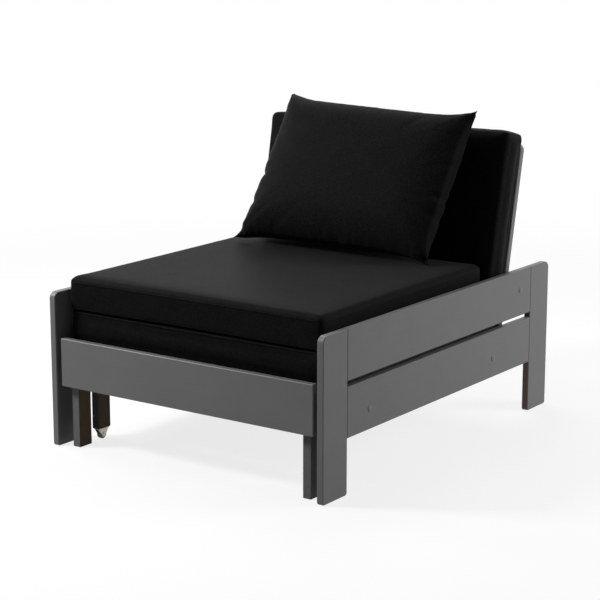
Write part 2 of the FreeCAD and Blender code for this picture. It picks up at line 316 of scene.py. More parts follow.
@dataclass(frozen=True)
class Lacquer:
    """Satin grey lacquer, rolled on planed softwood whose grain still telegraphs through.

    Closer to the middle of the bed than a given distance, measured along a given level axis, a
    brown is painted over it as warm bounce light on faces in shade.
    """

    name: str
    grain: Grain
    shift: float = 0.0
    colour: Colour = (0.186, 0.186, 0.188)
    dusty: Colour = (0.205, 0.204, 0.203)
    gloss: float = 0.34
    # Painted warm bounce light: where and in what brown it goes on shaded faces.
    bounce_within: float = 0.0
    bounce_axis: Axis = Axis.ACROSS
    bounce_share: float = 0.80
    shade_brown: Colour = (0.115, 0.066, 0.023)

    def make(self) -> Material:
        """Builds the material and returns it."""
        recipe = Recipe(self.name)
        along = recipe.place(self.grain.value, self.shift)
        even = recipe.place(shift=self.shift)
        rings = recipe.noise(along, 70.0, detail=4.0, rough=0.6, twist=0.4)
        pores = recipe.noise(along, 420.0, detail=2.0, rough=0.5)
        peel = recipe.noise(even, 700.0, detail=2.0, rough=0.5)
        cloud = recipe.noise(even, 6.0, detail=3.0, rough=0.6)
        tone = cloud.rise(0.35, 0.75) * 0.7 + rings.rise(0.45, 0.7) * 0.3
        normal = recipe.bump(rings * 0.7 + pores * 0.3, strength=0.22, distance=0.0006)
        normal = recipe.bump(peel, strength=0.10, distance=0.0002, under=normal)
        shown = recipe.mix(tone, self.colour, self.dusty)
        # Painted warm bounce light: brown mixed in on faces in shade near the bed's middle.
        if self.bounce_within:
            place = recipe.add("ShaderNodeSeparateXYZ", None, {0: recipe.spot()},
                               self.bounce_axis.value)
            bounce_mask = abs(place) < self.bounce_within
            shown = recipe.mix(bounce_mask * (self.bounce_share + rings * 0.3), shown, self.shade_brown)
        return recipe.finish(
            Base_Color=shown,
            Roughness=0.33 + cloud * 0.08 + pores * 0.05,
            Specular_IOR_Level=self.gloss,
            Normal=normal,
        )


@dataclass(frozen=True)
class ShadeDarkenedSoftwood:
    """Planed softwood with pale early wood, dark late wood and a few knots, all far darker as
    painted shade.
    """

    name: str = "shade_darkened_softwood"
    # Painted shade: far darker than bare pine, so the slats look black through the slots.
    pale: Colour = (0.052, 0.034, 0.021)
    dark: Colour = (0.030, 0.018, 0.011)
    knot: Colour = (0.012, 0.008, 0.005)

    def make(self) -> Material:
        """Builds the material and returns it."""
        recipe = Recipe(self.name)
        rings = recipe.noise(recipe.place(Grain.ALONG.value), 95.0, detail=5.0, rough=0.62,
                             twist=0.9)
        fibre = recipe.noise(recipe.place((1.0, 0.02, 1.0)), 900.0, detail=2.0, rough=0.6)
        cells = {"Vector": recipe.place((1.0, 0.35, 1.0)), "Scale": 9.0, "Randomness": 1.0}
        knots = 1.0 - recipe.add("ShaderNodeTexVoronoi", None, cells).rise(0.02, 0.10)
        wood = recipe.mix(rings.rise(0.42, 0.66), self.pale, self.dark)
        wood = recipe.mix(fibre.rise(0.4, 0.8) * 0.25, wood, self.dark)
        return recipe.finish(
            Base_Color=recipe.mix(knots * 0.8, wood, self.knot),
            Roughness=0.55 + fibre * 0.15,
            Normal=recipe.bump(rings * 0.6 + fibre * 0.4, strength=0.35, distance=0.0004),
        )


@dataclass(frozen=True)
class ZincSteel:
    """Pressed zinc-plated steel, with a faint yellow passivation and drawn marks."""

    name: str = "zinc_steel"
    bright: Colour = (0.46, 0.44, 0.38)
    warm: Colour = (0.36, 0.28, 0.17)

    def make(self) -> Material:
        """Builds the material and returns it."""
        recipe = Recipe(self.name)
        even = recipe.place()
        marks = recipe.noise(recipe.place((1.0, 1.0, 0.1)), 1500.0, detail=2.0, rough=0.5)
        cloud = recipe.noise(even, 90.0, detail=3.0, rough=0.6)
        cells = {"Vector": even, "Scale": 260.0}
        spangle = recipe.add("ShaderNodeTexVoronoi", None, cells, "Color")
        tint = recipe.mix(cloud.rise(0.45, 0.7), self.bright, self.warm)
        return recipe.finish(
            Base_Color=recipe.mix(0.12, tint, spangle),
            Metallic=0.85,
            Roughness=0.30 + cloud * 0.18,
            Normal=recipe.bump(marks, strength=0.12, distance=0.0001),
        )


@dataclass(frozen=True)
class Moulding:
    """Moulded plastic with a fine grained skin."""

    name: str
    colour: Colour
    roughness: float = 0.4
    shaded: float = 0.82

    def make(self) -> Material:
        """Builds the material and returns it."""
        recipe = Recipe(self.name)
        even = recipe.place()
        skin = recipe.noise(even, 1800.0, detail=2.0, rough=0.5)
        cloud = recipe.noise(even, 40.0, detail=3.0, rough=0.6)
        darker = tuple(part * self.shaded for part in self.colour)
        return recipe.finish(
            Base_Color=recipe.mix(cloud.rise(0.35, 0.7), self.colour, darker),
            Roughness=self.roughness + skin * 0.10,
            Normal=recipe.bump(skin, strength=0.18, distance=0.00015),
        )


@dataclass(frozen=True)
class WovenCover:
    """Plain black cover cloth: round threads over and under each other, slubs and a little lint."""

    name: str
    black: Colour = (0.0038, 0.0038, 0.0041)
    worn: Colour = (0.0150, 0.0150, 0.0152)
    pitch: float = 0.0012
    slub_runs: tuple[Point, Point] = ((12.0, 480.0, 1.0), (480.0, 12.0, 1.0))
    sheen: float = 0.03
    gloss: float = 0.013

    def make(self) -> Material:
        """Builds the material on the piece's own map, whose unit is a metre, and returns it."""
        recipe = Recipe(self.name)
        flat = recipe.add("ShaderNodeUVMap", {"uv_map": CLOTH_MAP})
        across = recipe.add("ShaderNodeSeparateXYZ", None, {0: flat}, "X")
        waves = math.pi / self.pitch
        warp, weft = (across * waves).sine(), (across.other("Y") * waves).sine()
        over = warp * weft > 0.0
        thread = abs(weft) + (abs(warp) - abs(weft)) * over
        slub_x, slub_y = (recipe.noise(recipe.scaled(flat, run), 1.0) for run in self.slub_runs)
        slub = slub_x * over + slub_y * (1.0 - over)
        cloud = recipe.noise(recipe.place(), 14.0, detail=4.0, rough=0.65)
        fleck = recipe.noise(recipe.place(), 210.0, detail=3.0, rough=0.7).rise(0.42, 0.62)
        tone = (thread * 0.25 + slub.rise(0.4, 0.75) * 0.2 + cloud.rise(0.35, 0.75) * 0.15
                + fleck * 0.45)
        normal = recipe.bump(thread + slub * 0.8, strength=0.30, distance=0.0003)
        normal = recipe.bump(fleck, strength=0.35, distance=0.0006, under=normal)
        normal = recipe.bump(cloud, strength=0.30, distance=0.0020, under=normal)
        return recipe.finish(
            Base_Color=recipe.mix(tone, self.black, self.worn),
            Roughness=0.38 + slub * 0.12 + fleck * 0.10,
            Specular_IOR_Level=self.gloss,
            Sheen_Weight=self.sheen,
            Sheen_Roughness=0.45,
            Normal=normal,
        )


def grid_faces(rows: int, columns: int, closed: bool) -> np.ndarray:
    """Quads of a grid of points.

    Args:
        rows: points down the grid.
        columns: points across it.
        closed: whether the last column joins the first.

    Returns:
        Four point numbers for each quad, wound so that row to column turns outwards.
    """
    index = np.arange(rows * columns).reshape(rows, columns)
    if closed:
        index = np.hstack([index, index[:, :1]])
    corners = (index[:-1, :-1], index[:-1, 1:], index[1:, 1:], index[1:, :-1])
    return np.stack(corners, axis=-1).reshape(-1, 4)


def side_by_side(*parts: float | np.ndarray) -> np.ndarray:
    """Rows made of arrays side by side, where a single number stands for a whole column."""
    return np.column_stack(np.broadcast_arrays(*parts))


def join(surfaces: Sequence[Surface]) -> Surface:
    """Several surfaces as one: each one's quads count on from the points before them.

    Args:
        surfaces: grids of points with their quads.

    Returns:
        All points as rows, and all quads.
    """
    points = [grid.reshape(-1, 3) for grid, _ in surfaces]
    before = np.cumsum([0] + [len(rows) for rows in points[:-1]])
    faces = [quads + first for (_, quads), first in zip(surfaces, before)]
    return np.vstack(points), np.vstack(faces)


def turn_about_x(points: np.ndarray, angle: float) -> np.ndarray:
    """Turns rows about X: y and z are mixed by the cosine and sine of the angle.

    Args:
        points: rows of points or directions.
        angle: in radians, from Y towards Z.

    Returns:
        The turned rows.
    """
    cosine, sine = math.cos(angle), math.sin(angle)
    return points @ np.array([[1.0, 0.0, 0.0], [0.0, cosine, sine], [0.0, -sine, cosine]])


def shade_smooth(mesh: Mesh) -> None:
    """Marks every face of a mesh as smooth."""
    mesh.polygons.foreach_set("use_smooth", [True] * len(mesh.polygons))


def new_piece(name: str, points: np.ndarray, faces: np.ndarray) -> Piece:
    """A smooth-shaded mesh object at the origin, with its doubles merged and its faces outwards.

    Args:
        name: the piece's name.
        points: its vertices, any shape that ends in three.
        faces: quads by vertex number.

    Returns:
        The new object, linked to the scene.
    """
    mesh = bpy.data.meshes.new(name)
    mesh.from_pydata(points.reshape(-1, 3).tolist(), [], faces.tolist())
    build = bmesh.new()
    build.from_mesh(mesh)
    bmesh.ops.remove_doubles(build, verts=build.verts, dist=MERGE_DISTANCE)
    bmesh.ops.dissolve_degenerate(build, edges=build.edges, dist=DEGENERATE_LENGTH)
    bmesh.ops.recalc_face_normals(build, faces=build.faces)
    build.to_mesh(mesh)
    build.free()
    shade_smooth(mesh)
    mesh.update()
    piece = bpy.data.objects.new(name, mesh)
    bpy.context.collection.objects.link(piece)
    return piece


def read_points(mesh: Mesh) -> np.ndarray:
    """All vertices of a mesh as an array of rows."""
    flat = np.empty(len(mesh.vertices) * 3)
    mesh.vertices.foreach_get("co", flat)
    return flat.reshape(-1, 3)


def shaped_points(piece: Piece) -> np.ndarray:
    """The vertices of a piece as its modifiers leave them."""
    return read_points(piece.evaluated_get(bpy.context.evaluated_depsgraph_get()).data)


def write_points(mesh: Mesh, points: np.ndarray) -> None:
    """Puts an array of rows back into a mesh's vertices."""
    mesh.vertices.foreach_set("co", points.ravel())
    mesh.update()


def read_corners(mesh: Mesh) -> np.ndarray:
    """The vertex number of each face corner of a mesh."""
    corners = np.empty(len(mesh.loops), dtype=np.int64)
    mesh.loops.foreach_get("vertex_index", corners)
    return corners


def lay_map(mesh: Mesh, flat: np.ndarray) -> None:
    """Adds the map that the cover cloth follows, from a row of two for each face corner."""
    mesh.uv_layers.new(name=CLOTH_MAP).data.foreach_set("uv", flat.ravel())


def box_map(mesh: Mesh, tilt: float = 0.0) -> None:
    """Lays cloth on a mesh, one unit to a metre, from the side that each face looks to.

    Args:
        mesh: the mesh.
        tilt: how far the piece leans about X, in radians, so that the cloth runs with it.
    """
    points = turn_about_x(read_points(mesh), tilt)
    normals = np.empty(len(mesh.polygons) * 3)
    mesh.polygons.foreach_get("normal", normals)
    sizes = np.empty(len(mesh.polygons), dtype=np.int64)
    mesh.polygons.foreach_get("loop_total", sizes)
    sides = np.abs(turn_about_x(normals.reshape(-1, 3), tilt)).argmax(axis=1)
    axes = np.array([[1, 2], [0, 2], [0, 1]])[np.repeat(sides, sizes)]
    lay_map(mesh, np.take_along_axis(points[read_corners(mesh)], axes, axis=1))


def revolve(profile: Sequence[tuple[float, float]], steps: int) -> Surface:
    """A lathe form about X: each profile point is carried round a full circle.

    Args:
        profile: (radius, place along the axis) pairs, from one end to the other.
        steps: points round the circle.

    Returns:
        The points as a grid and its quads.
    """
    outline = np.array(profile)
    turn = np.linspace(0.0, 2.0 * math.pi, steps, endpoint=False)
    points = np.empty((len(outline), steps, 3))
    points[..., 0] = outline[:, 1:2]
    points[..., 1] = outline[:, :1] * np.cos(turn)
    points[..., 2] = outline[:, :1] * np.sin(turn)
    return points, grid_faces(len(outline), steps, True)


def tube(path: np.ndarray, radius: float, sides: int = 8) -> Surface:
    """A round cord round a closed flat path: circles square to the path, carried along it.

    Args:
        path: the closed path's points in order.
        radius: the cord's radius.
        sides: points round each circle.

    Returns:
        The points as a grid and its quads, closed both ways.
    """
    along = np.roll(path, -1, axis=0) - np.roll(path, 1, axis=0)
    along /= np.linalg.norm(along, axis=1, keepdims=True)
    up = np.array([0.0, 0.0, 1.0])
    side = np.cross(along, up)
    turn = np.linspace(0.0, 2.0 * math.pi, sides, endpoint=False)
    circle = side[:, None] * np.cos(turn)[:, None] + up * np.sin(turn)[:, None]
    faces = grid_faces(len(path) + 1, sides, True) % (len(path) * sides)
    return path[:, None] + radius * circle, faces


def hug(path: np.ndarray, surface: Piece) -> np.ndarray:
    """Brings a closed path onto a surface.

    Each point goes to the nearest place on the surface, then becomes the mean of itself and its
    four neighbours.

    Args:
        path: the path's points in order.
        surface: the piece to lie on.

    Returns:
        The path's new points.
    """
    mesh = bpy.data.meshes.new("path")
    mesh.from_pydata(path.tolist(), [], [])
    guide = bpy.data.objects.new("path", mesh)
    bpy.context.collection.objects.link(guide)
    wrap = guide.modifiers.new("wrap", "SHRINKWRAP")
    wrap.target = surface
    wrap.wrap_method = "NEAREST_SURFACEPOINT"
    found = shaped_points(guide)
    bpy.data.objects.remove(guide)
    bpy.data.meshes.remove(mesh)
    return np.mean([np.roll(found, step, axis=0) for step in range(-2, 3)], axis=0)


def settle(piece: Piece) -> None:
    """Turns a piece's modifiers into its mesh.

    Args:
        piece: the piece, whose old mesh is removed.
    """
    graph = bpy.context.evaluated_depsgraph_get()
    mesh = bpy.data.meshes.new_from_object(piece.evaluated_get(graph))
    mesh.name = piece.name
    old = piece.data
    piece.modifiers.clear()
    piece.data = mesh
    bpy.data.meshes.remove(old)
    shade_smooth(mesh)


def subdivide(piece: Piece) -> None:
    """Smooths a piece's mesh by one subdivision."""
    smooth = piece.modifiers.new("smooth", "SUBSURF")
    smooth.levels = smooth.render_levels = 1
    settle(piece)


def paint(piece: Piece, material: Material) -> Piece:
    """Gives a piece one material.

    Args:
        piece: a CAD node or a new piece.
        material: its finish.

    Returns:
        The same piece.
    """
    piece.data.materials.clear()
    piece.data.materials.append(material)
    return piece


@dataclass(frozen=True)
class Padding:
    """How cover cloth is blown up over its filling, and how far a point may move."""

    pressure: float
    cap: float
    frames: int = 12
    steps: int = 4
    stiffness: float = 15.0
    bending: float = 0.5
    mass: float = 0.3
    sideways: float = 1.0

    def inflate(self, piece: Piece) -> None:
        """Runs the cloth, limits how far a point may move and leaves the result in the mesh.

        The share of the move in the plane of X and Z is kept as sideways says. A move of length d
        then becomes cap times the hyperbolic tangent of d over cap.

        Args:
            piece: the piece, whose mesh is changed.
        """
        scene = bpy.context.scene
        start = read_points(piece.data)
        cloth = piece.modifiers.new("cloth", "CLOTH")
        settings, cache = cloth.settings, cloth.point_cache
        settings.use_pressure = True
        settings.uniform_pressure_force = self.pressure
        settings.effector_weights.gravity = 0.0
        settings.quality = self.steps
        settings.mass = self.mass
        settings.tension_stiffness = self.stiffness
        settings.compression_stiffness = self.stiffness
        settings.bending_stiffness = self.bending
        cloth.collision_settings.use_collision = False
        cache.frame_start, cache.frame_end = 1, self.frames
        for number in range(1, self.frames + 1):
            scene.frame_set(number)
        blown = shaped_points(piece)
        piece.modifiers.remove(cloth)
        scene.frame_set(1)
        move = (blown - start) * np.array([self.sideways, 1.0, self.sideways])
        length = np.maximum(np.linalg.norm(move, axis=1, keepdims=True), TINY)
        write_points(piece.data, start + move / length * self.cap * np.tanh(length / self.cap))


@dataclass
class FoamSection:
    """One section of the mattress: a foam slab in a sewn cover, crowned on top, with edge seams.

    A section that stands leans back by lean, with the middle of its rear face's foot at aside and
    foot_line. The slab starts smaller by slack and is blown up from there; the finished section
    leaves play round and under it. A lap seam's cord fills the upper edge itself, and its path
    starts lap_reach outside that edge.
    """

    node: str
    body: str
    width: float
    depth: float
    thickness: float = 0.102
    lean: float = 0.0
    aside: float = 0.0
    foot_line: tuple[float, float] = (0.3864, 0.3016)
    crown: float = 0.004
    edge: float = 0.015
    foot_edge: float = 0.006
    corner: float = 0.010
    draw_in: float = 0.004
    slack: float = 0.0015
    play: float = 0.0005
    lowest: float = 0.0004
    seam_radius: float = 0.0010
    seam_drop: float = 0.002
    lap_seam: bool = False
    lap_reach: float = 0.012
    voxel: float = 0.010
    fill: float = 0.95
    outline_points: int = 320
    seam_points: int = 480
    corner_points: int = 9
    edge_rows: int = 7
    side_rows: int = 8
    top_rows: int = 26

    def outline(self, count: int) -> np.ndarray:
        """The section seen from above: a rectangle with round corners whose sides draw in.

        The corner arcs are joined and spread evenly along the path, then each side's points move
        inwards by draw_in times one less the square of their place along the side.

        Args:
            count: points round the path.

        Returns:
            (x, y) rows about the middle.
        """
        half = np.array([self.width, self.depth]) / 2 - self.slack
        quarter = np.linspace(0.0, math.pi / 2, self.corner_points)
        turn = (np.arange(4)[:, None] * math.pi / 2 + quarter).ravel()
        side = np.array([[1, 1], [-1, 1], [-1, -1], [1, -1]]).repeat(self.corner_points, axis=0)
        path = side * (half - self.corner) + self.corner * side_by_side(np.cos(turn), np.sin(turn))
        path = np.vstack([path, path[:1]])
        steps = np.linalg.norm(np.diff(path, axis=0), axis=1)
        length = np.concatenate([[0.0], np.cumsum(steps)])
        places = np.linspace(0.0, length[-1], count, endpoint=False)
        even = np.stack([np.interp(places, length, path[:, axis]) for axis in (0, 1)], axis=1)
        share = np.clip(np.abs(even) / (half - self.corner), 0.0, 1.0)
        pull = self.draw_in * (1.0 - share[:, ::-1] ** 2) * np.sign(even) * (share >= 1.0)
        return even - pull

    def start(self) -> Surface:
        """The slab before it is blown up, standing on the ground about the origin.

        The profile is a list of (inset from the outline, share of the way to the middle, height);
        the outline is drawn in by the inset on both axes, then scaled towards the middle.

        Returns:
            The points as a grid and its quads.
        """
        half = np.array([self.width, self.depth]) / 2 - self.slack
        turn = np.linspace(0.0, math.pi / 2, self.edge_rows)
        share = np.linspace(0.0, 1.0, self.top_rows)[1:]
        high = self.thickness - self.slack
        foot, edge = self.foot_edge, self.edge
        base = side_by_side(foot, share, self.slack)[::-1]
        low_arc = side_by_side(foot * (1 - np.sin(turn)), 0.0,
                               self.slack + foot * (1 - np.cos(turn)))
        top_arc = side_by_side(edge * (1 - np.cos(turn)), 0.0, high - edge * (1 - np.sin(turn)))
        sides = np.linspace(low_arc[-1], top_arc[0], self.side_rows)[1:-1]
        top = side_by_side(edge, share, high + self.crown * np.sqrt(1 - (1 - share) ** 2))
        profile = np.vstack([base, low_arc, sides, top_arc, top])
        ring = self.outline(self.outline_points)
        inset = 1.0 - profile[:, :1, None] / half
        plan = ring[None] * inset * (1.0 - profile[:, 1:2, None])
        height = np.broadcast_to(profile[:, 2:3, None], plan.shape[:2] + (1,))
        return np.concatenate([plan, height], axis=2), grid_faces(len(profile), len(ring), True)

    def fit(self, mesh: Mesh) -> None:
        """Scales the finished cover on each axis to the section's own size.

        Args:
            mesh: the cover's mesh.
        """
        points = read_points(mesh)
        low, high = points.min(axis=0), points.max(axis=0)
        half = np.array([self.width / 2 - self.play, self.depth / 2 - self.play])
        floor = np.array([*-half, self.play])
        roof = np.array([*half, self.thickness + self.crown])
        write_points(mesh, floor + (points - low) / (high - low) * (roof - floor))

    def cover(self, padding: Padding) -> Piece:
        """Makes the cover, lying flat about the origin.

        Args:
            padding: how it is blown up.

        Returns:
            The piece.
        """
        piece = new_piece(self.node + "_cover", *self.start())
        remesh = piece.modifiers.new("remesh", "REMESH")
        remesh.mode = "VOXEL"
        remesh.voxel_size = self.voxel
        remesh.use_smooth_shade = True
        settle(piece)
        padding.inflate(piece)
        points = read_points(piece.data)
        points[:, 2] = np.clip(points[:, 2], self.lowest, self.thickness + self.crown)
        write_points(piece.data, points)
        subdivide(piece)
        self.fit(piece.data)
        return piece

    def seams(self, cover: Piece) -> list[np.ndarray]:
        """The paths of the two seams round the sides, at the lower and at the upper edge.

        Args:
            cover: the section's cover, which they lie on.

        Returns:
            Two closed paths.
        """
        ring = self.outline(self.seam_points)
        low = side_by_side(*ring.T, self.foot_edge)
        high = side_by_side(*ring.T, self.thickness - self.edge - self.seam_drop)
        if self.lap_seam:
            beyond = 1 + self.lap_reach / np.array([self.width / 2, self.depth / 2])
            high = side_by_side(*(ring * beyond).T, self.thickness + self.lap_reach)
        return [hug(low, cover), hug(high, cover)]

    def stand(self, points: np.ndarray) -> np.ndarray:
        """Moves points into the place that the CAD node holds.

        A section that leans is turned about X and put with the foot of its rear face on foot_line.

        Args:
            points: rows in the section's own axes, lying flat.

        Returns:
            The rows in the model's frame.
        """
        if not self.lean:
            low, high = (np.array(corner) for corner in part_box(self.node))
            return points + np.array([(low[0] + high[0]) / 2, (low[1] + high[1]) / 2, low[2]])
        from_foot = points + np.array([0.0, self.depth / 2, 0.0])
        upright = turn_about_x(from_foot, math.pi / 2 - self.lean)
        return upright + np.array([self.aside, *self.foot_line])

    def build(self, cloth: Material, padding: Padding) -> list[Piece]:
        """Makes the section and its edge seams and puts them on their body.

        Args:
            cloth: the cover's material.
            padding: how the cover is blown up.

        Returns:
            The pieces.
        """
        cover = self.cover(padding)
        points, faces = join([tube(path, self.seam_radius) for path in self.seams(cover)])
        write_points(cover.data, self.stand(read_points(cover.data)))
        seams = new_piece(self.node + "_seams", self.stand(points), faces)
        for piece in (cover, seams):
            box_map(piece.data, self.lean)
            paint(piece, cloth)
            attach(piece, self.body)
        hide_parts(self.node)
        return [cover, seams]


@dataclass(frozen=True)
class Crease:
    """A fold in the pillow, from a point on its rim inwards, in halves of its width and height."""

    start: tuple[float, float]
    end: tuple[float, float]
    depth: float
    width: float


@dataclass
class Pillow:
    """A stuffed pillow with a sewn rim and pointed ears, leaning on the back section.

    The tapers are the shares of its depth that it loses at the ears and at the right side, in front
    and behind. The corners are left and right at the foot, then at the head. A stitch wave has a
    length, a share and a phase. The pillow stays above seat_level and back_depth in front of the
    back section's rear face, whose foot is at back_foot. Its sheets start flat_swell deep before
    the cloth runs; quick_swell is not used.
    """

    node: str = "pillow"
    body: str = "loose_pillow"
    flat_width: float = 0.76
    flat_height: float = 0.56
    half_thickness: float = 0.090
    fullness: float = 0.38
    ear_taper: tuple[float, float] = (0.15, 0.85)
    ear_reach: float = 0.090
    right_taper: tuple[float, float] = (0.38, 0.0)
    rows: int = 72
    columns: int = 100
    corners: tuple[Point, ...] = (
        (-0.372, 0.133, 0.5150), (0.346, 0.122, 0.5150),
        (-0.318, 0.364, 0.9655), (0.391, 0.334, 0.9535),
    )
    rim_draw_in: float = 0.021
    ear_power: float = 7.0
    pucker: float = 0.0022
    pucker_reach: float = 0.030
    stitch_waves: tuple[Point, ...] = ((0.043, 1.0, 0.0), (0.027, 0.7, 1.9))
    stitch_beat: float = 31.0
    beat_share: float = 0.4
    stitch_offsets: tuple[float, float] = (0.31, 0.47)
    creases: tuple[Crease, ...] = (
        Crease((-1.0, -0.18), (-0.80, -0.13), 0.011, 0.013),
        Crease((-1.0, -0.50), (-0.84, -0.54), 0.010, 0.011),
        Crease((0.98, -0.96), (0.60, -0.62), 0.010, 0.014),
        Crease((1.0, 0.30), (0.78, 0.20), 0.006, 0.013),
        Crease((1.0, -0.12), (0.78, -0.20), 0.008, 0.012),
        Crease((1.0, -0.42), (0.68, -0.30), 0.008, 0.014),
        Crease((-0.96, 0.97), (-0.72, 0.72), 0.005, 0.018),
        Crease((-0.97, -0.97), (-0.70, -0.66), 0.007, 0.016),
        Crease((0.97, 0.95), (0.76, 0.66), 0.005, 0.020),
        Crease((0.15, -1.0), (0.02, -0.70), 0.005, 0.016),
    )
    crease_fade: float = 0.7
    crease_behind: float = 0.4
    rim_fade: float = 0.012
    seat_level: float = 0.5135
    back_foot: tuple[float, float] = (0.387, 0.303)
    back_depth: float = 0.1095
    flat_swell: float = 0.012
    quick_swell: float = 0.07
    fill: float = 0.85

    def start(self, swell: float) -> Surface:
        """Two sheets joined at their sides, as one band whose end rows close on themselves.

        Across the band a point runs over the front sheet and back over the rear one; its depth is
        swell times the square root of the product of both distances from the rim. Each side of the
        rim is drawn in by rim_draw_in times one less a high power of the place along it, which
        leaves four short ears.

        Args:
            swell: depth of each sheet at its middle.

        Returns:
            The points as a grid and its quads.
        """
        front = np.linspace(-1.0, 1.0, self.columns + 1)
        across = np.concatenate([front, front[-2:0:-1]])
        facing = np.repeat([-1.0, 1.0], [self.columns + 1, self.columns - 1])
        x, z = np.meshgrid(across, np.linspace(-1.0, 1.0, self.rows + 1))
        bulge = np.clip((1 - x ** 2) * (1 - z ** 2), 0.0, None) ** 0.5
        pull_x, pull_z = (self.rim_draw_in * (1 - np.abs(place) ** self.ear_power)
                          for place in (z, x))
        flat_x, flat_z = x * (self.flat_width / 2 - pull_x), z * (self.flat_height / 2 - pull_z)
        points = np.stack([flat_x, facing * swell * bulge, flat_z], axis=2)
        return points, grid_faces(self.rows + 1, len(across), True)

    def puckers(self, points: np.ndarray) -> np.ndarray:
        """How far the stitching sinks the cloth: waves along the rim that fade away from it.

        Args:
            points: rows in the pillow's own axes.

        Returns:
            A depth for each row.
        """
        high = np.abs(points).max(axis=0)
        sunk = np.zeros(len(points))
        for edge, along, offset in zip((0, 2), (2, 0), self.stitch_offsets):
            share = points[:, edge] / high[edge]
            distance = (1 - np.abs(share)) * high[edge]
            place = points[:, along] + offset * np.sign(share)
            wave = sum(size * np.sin(place * 2 * math.pi / length + phase)
                       for length, size, phase in self.stitch_waves)
            beat = (1 - self.beat_share) + self.beat_share * np.sin(place * self.stitch_beat)
            sunk += self.pucker * np.exp(-distance / self.pucker_reach) * wave * beat
        return sunk

    def sew(self, points: np.ndarray) -> np.ndarray:
        """Adds puckers and folds to the cloth.

        A fold sinks by its depth times a bell curve of the distance from its line, and pulls the
        cloth towards the middle by a third of that. The sinking fades out where the sheets meet.

        Args:
            points: rows in the pillow's own axes.

        Returns:
            The new rows.
        """
        high = np.abs(points).max(axis=0)
        flat = points[:, [0, 2]]
        sunk = self.puckers(points)
        pulled = np.zeros(len(points))
        for crease in self.creases:
            first, last = (np.array(end) * high[[0, 2]] for end in (crease.start, crease.end))
            line = last - first
            share = np.clip((flat - first) @ line / (line @ line), 0.0, 1.0)
            away = np.linalg.norm(flat - first - share[:, None] * line, axis=1)
            bell = np.exp(-(away / crease.width) ** 2)
            fold = crease.depth * bell * (1 - self.crease_fade * share)
            sunk += np.where(points[:, 1] < 0.0, fold, self.crease_behind * fold)
            pulled += fold / 3
        near = np.clip(np.abs(points[:, 1]) / self.rim_fade, 0.0, 1.0)
        result = points.copy()
        result[:, 1] -= np.sign(points[:, 1]) * sunk * near
        result[:, [0, 2]] *= (1 - pulled / high[0])[:, None]
        return result

    def drape(self, points: np.ndarray) -> np.ndarray:
        """Carries the blown pillow to its place.

        Its own width and height run from zero to one and pick a point between the four corners;
        its depth, raised to the power fullness, goes along the normal of their plane. The depth is
        thinned by a bell curve at each ear and by the square of the way to the right.

        Args:
            points: rows in the pillow's own axes.

        Returns:
            The rows in the model's frame.
        """
        low, high = points.min(axis=0), points.max(axis=0)
        share = (points - low) / (high - low)
        across, up = share[:, :1], share[:, 2:3]
        foot_left, foot_right, head_left, head_right = map(np.array, self.corners)
        flat = ((1 - up) * ((1 - across) * foot_left + across * foot_right)
                + up * ((1 - across) * head_left + across * head_right))
        normal = np.cross(foot_right - foot_left, head_left - foot_left)
        normal /= np.linalg.norm(normal)
        nearest = (0.5 - np.abs(share[:, [0, 2]] - 0.5)) * (high - low)[[0, 2]]
        bell = np.exp(-((nearest ** 2).sum(axis=1, keepdims=True)) / self.ear_reach ** 2)
        front = points[:, 1:2] < 0.0
        thin = ((1 - np.where(front, *self.ear_taper) * bell)
                * (1 - np.where(front, *self.right_taper) * across ** 2))
        full = np.abs(points[:, 1:2]) / max(high[1], -low[1])
        depth = np.sign(points[:, 1:2]) * full ** self.fullness * self.half_thickness * thin
        return self.rest(flat - normal * depth)

    def rest(self, placed: np.ndarray) -> np.ndarray:
        """Brings points under the seat's face or inside the back section out to their surfaces.

        Args:
            placed: rows in the model's frame.

        Returns:
            The rows, clear of both.
        """
        placed[:, 2] = np.maximum(placed[:, 2], self.seat_level)
        rearwards = np.array([0.0, math.cos(PANEL_LEAN), -math.sin(PANEL_LEAN)])
        foot = np.array([0.0, *self.back_foot])
        inside = np.maximum((placed - foot) @ rearwards + self.back_depth, 0.0)
        return placed - inside[:, None] * rearwards

    def build(self, cloth: Material, padding: Padding) -> Piece:
        """Makes the pillow and puts it on its body.

        Args:
            cloth: the cover's material.
            padding: how the cover is blown up.

        Returns:
            The piece.
        """
        swell = self.flat_swell
        piece = new_piece(self.node + "_cover", *self.start(swell))
        lay_map(piece.data, read_points(piece.data)[read_corners(piece.data)][:, [0, 2]])
        padding.inflate(piece)
        subdivide(piece)
        write_points(piece.data, self.drape(self.sew(read_points(piece.data))))
        paint(piece, cloth)
        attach(piece, self.body)
        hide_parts(self.node)
        return piece


def pairs(*kinds: str) -> tuple[str, ...]:
    """The names of nodes that come in pairs, left before right."""
    return tuple(f"{kind}_{side}" for kind in kinds for side in SIDES)


